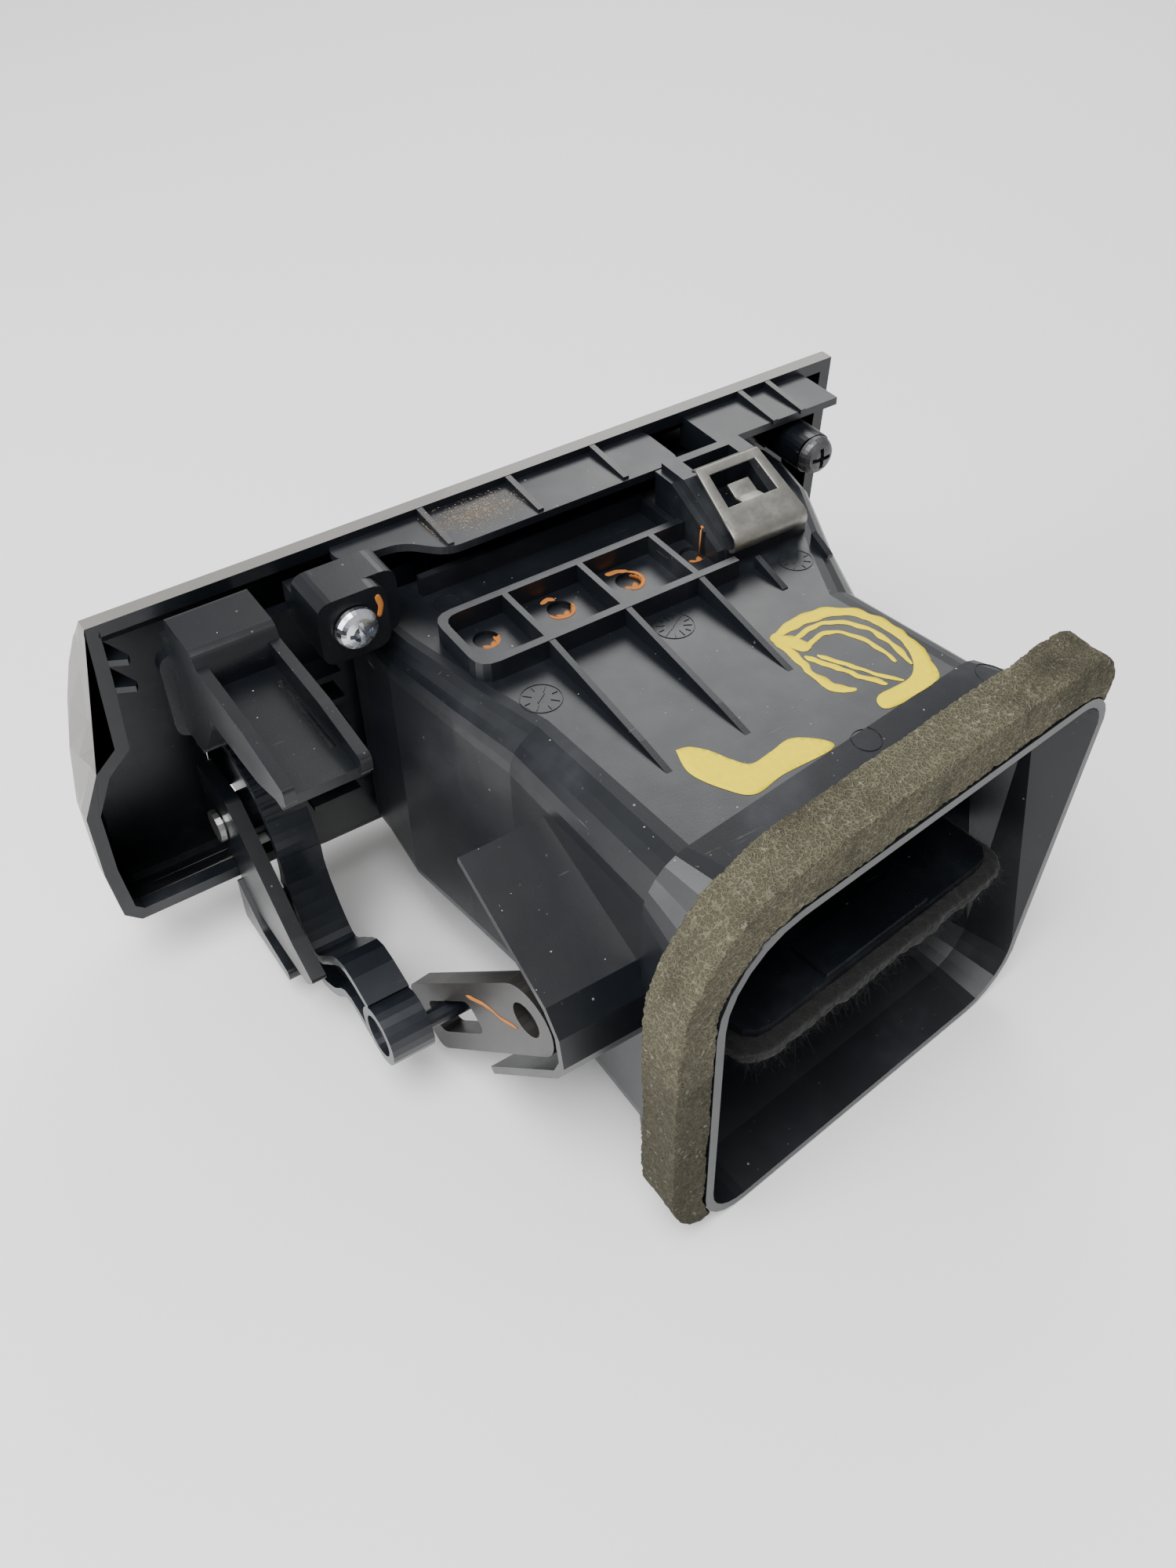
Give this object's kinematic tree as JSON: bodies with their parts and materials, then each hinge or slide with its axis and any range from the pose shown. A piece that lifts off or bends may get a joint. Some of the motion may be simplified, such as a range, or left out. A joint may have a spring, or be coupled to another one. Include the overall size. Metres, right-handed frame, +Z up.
{
  "type": "dashboard air vent",
  "caption": "Dashboard side air vent with bezel, adjustable vanes, thumbwheel, damper and foam-lipped air duct.",
  "frame": {"origin": "centre of the part's footprint at the level of its lowest edge", "axes": "+Z up, -Y towards the cabin through the grille, +X towards the thumbwheel end of the bezel"},
  "size_m": [0.1722, 0.1352, 0.0905],
  "materials": {
    "bezel_paint": "satin",
    "black_plastic": "satin",
    "vane_plastic": "matte",
    "foam": "open cell foam",
    "felt": "felt",
    "clip_steel": "dull zinc",
    "screw_zinc": "bright zinc",
    "axle_steel": "bright"
  },
  "bodies": {
    "vent_body": {"front_bezel": "bezel_paint", "grille_housing": "black_plastic", "duct_housing": "black_plastic", "lip_foam": "foam", "spring_clip": "clip_steel", "screw_near": "screw_zinc", "screw_far": "screw_zinc", "thumbwheel_axle": "axle_steel"},
    "tilt_3": {"tilt_vane_3": "vane_plastic"},
    "tilt_1": {"tilt_vane_1": "vane_plastic"},
    "tilt_2": {"tilt_vane_2": "vane_plastic"},
    "tilt_4": {"tilt_vane_4": "vane_plastic"},
    "tilt_5": {"tilt_vane_5": "vane_plastic"},
    "tilt_link": {"tilt_link_bar": "black_plastic"},
    "swing_4": {"swing_vane_4": "vane_plastic"},
    "swing_1": {"swing_vane_1": "vane_plastic"},
    "swing_2": {"swing_vane_2": "vane_plastic"},
    "swing_3": {"swing_vane_3": "vane_plastic"},
    "swing_5": {"swing_vane_5": "vane_plastic"},
    "swing_6": {"swing_vane_6": "vane_plastic"},
    "swing_7": {"swing_vane_7": "vane_plastic"},
    "swing_link": {"swing_link_bar": "black_plastic"},
    "slider": {"slider_knob": "black_plastic"},
    "lever": {"thumbwheel_lever": "black_plastic"},
    "damper": {"damper_blade": "black_plastic", "damper_felt": "felt", "damper_clamp_plate": "black_plastic", "damper_crank": "black_plastic"}
  },
  "joints": [
    {"name": "tilt_3_hinge", "type": "hinge", "parent": "vent_body", "child": "tilt_3", "pos_m": [-0.018, -0.056, 0.0446], "axis": [1, 0, 0], "range_deg": [-20, 20]},
    {"name": "tilt_1_hinge", "type": "hinge", "parent": "vent_body", "child": "tilt_1", "pos_m": [-0.018, -0.056, 0.02748], "axis": [1, 0, 0], "range_deg": [-20, 20]},
    {"name": "tilt_2_hinge", "type": "hinge", "parent": "vent_body", "child": "tilt_2", "pos_m": [-0.018, -0.056, 0.03604], "axis": [1, 0, 0], "range_deg": [-20, 20]},
    {"name": "tilt_4_hinge", "type": "hinge", "parent": "vent_body", "child": "tilt_4", "pos_m": [-0.018, -0.056, 0.05316], "axis": [1, 0, 0], "range_deg": [-20, 20]},
    {"name": "tilt_5_hinge", "type": "hinge", "parent": "vent_body", "child": "tilt_5", "pos_m": [-0.018, -0.056, 0.06172], "axis": [1, 0, 0], "range_deg": [-20, 20]},
    {"name": "tilt_link_pin", "type": "hinge", "parent": "tilt_3", "child": "tilt_link", "pos_m": [0.02535, -0.0523, 0.0446], "axis": [1, 0, 0], "range_deg": [-20, 20]},
    {"name": "swing_4_hinge", "type": "hinge", "parent": "vent_body", "child": "swing_4", "pos_m": [-0.018, -0.04, 0.0446], "axis": [0, 0, 1], "range_deg": [-35, 35]},
    {"name": "swing_1_hinge", "type": "hinge", "parent": "vent_body", "child": "swing_1", "pos_m": [-0.0555, -0.04, 0.0446], "axis": [0, 0, 1], "range_deg": [-35, 35]},
    {"name": "swing_2_hinge", "type": "hinge", "parent": "vent_body", "child": "swing_2", "pos_m": [-0.043, -0.04, 0.0446], "axis": [0, 0, 1], "range_deg": [-35, 35]},
    {"name": "swing_3_hinge", "type": "hinge", "parent": "vent_body", "child": "swing_3", "pos_m": [-0.0305, -0.04, 0.0446], "axis": [0, 0, 1], "range_deg": [-35, 35]},
    {"name": "swing_5_hinge", "type": "hinge", "parent": "vent_body", "child": "swing_5", "pos_m": [-0.0055, -0.04, 0.0446], "axis": [0, 0, 1], "range_deg": [-35, 35]},
    {"name": "swing_6_hinge", "type": "hinge", "parent": "vent_body", "child": "swing_6", "pos_m": [0.007, -0.04, 0.0446], "axis": [0, 0, 1], "range_deg": [-35, 35]},
    {"name": "swing_7_hinge", "type": "hinge", "parent": "vent_body", "child": "swing_7", "pos_m": [0.0195, -0.04, 0.0446], "axis": [0, 0, 1], "range_deg": [-35, 35]},
    {"name": "swing_link_pin", "type": "hinge", "parent": "swing_4", "child": "swing_link", "pos_m": [-0.018, -0.047, 0.0645], "axis": [0, 0, 1], "range_deg": [-35, 35]},
    {"name": "slider_slide", "type": "slide", "parent": "tilt_3", "child": "slider", "axis": [1, 0, 0], "range_m": [-0.0054, 0.0054]},
    {"name": "lever_hinge", "type": "hinge", "parent": "vent_body", "child": "lever", "pos_m": [0.05225, -0.046, 0.0295], "axis": [1, 0, 0], "range_deg": [0, 36]},
    {"name": "damper_hinge", "type": "hinge", "parent": "vent_body", "child": "damper", "pos_m": [0.04, 0.0368, 0.0405], "axis": [0.9917, 0.1288, 0], "range_deg": [-71, 0]}
  ],
  "couplings": [
    {"joint": "tilt_1_hinge", "follows": "tilt_3_hinge", "ratio": 1},
    {"joint": "tilt_2_hinge", "follows": "tilt_3_hinge", "ratio": 1},
    {"joint": "tilt_4_hinge", "follows": "tilt_3_hinge", "ratio": 1},
    {"joint": "tilt_5_hinge", "follows": "tilt_3_hinge", "ratio": 1},
    {"joint": "tilt_link_pin", "follows": "tilt_3_hinge", "ratio": -1},
    {"joint": "swing_1_hinge", "follows": "swing_4_hinge", "ratio": 1},
    {"joint": "swing_2_hinge", "follows": "swing_4_hinge", "ratio": 1},
    {"joint": "swing_3_hinge", "follows": "swing_4_hinge", "ratio": 1},
    {"joint": "swing_5_hinge", "follows": "swing_4_hinge", "ratio": 1},
    {"joint": "swing_6_hinge", "follows": "swing_4_hinge", "ratio": 1},
    {"joint": "swing_7_hinge", "follows": "swing_4_hinge", "ratio": 1},
    {"joint": "swing_link_pin", "follows": "swing_4_hinge", "ratio": -1},
    {"joint": "slider_slide", "follows": "swing_4_hinge", "m_per_rad": 0.00865},
    {"joint": "damper_hinge", "follows": "lever_hinge", "ratio": -1.97}
  ]
}
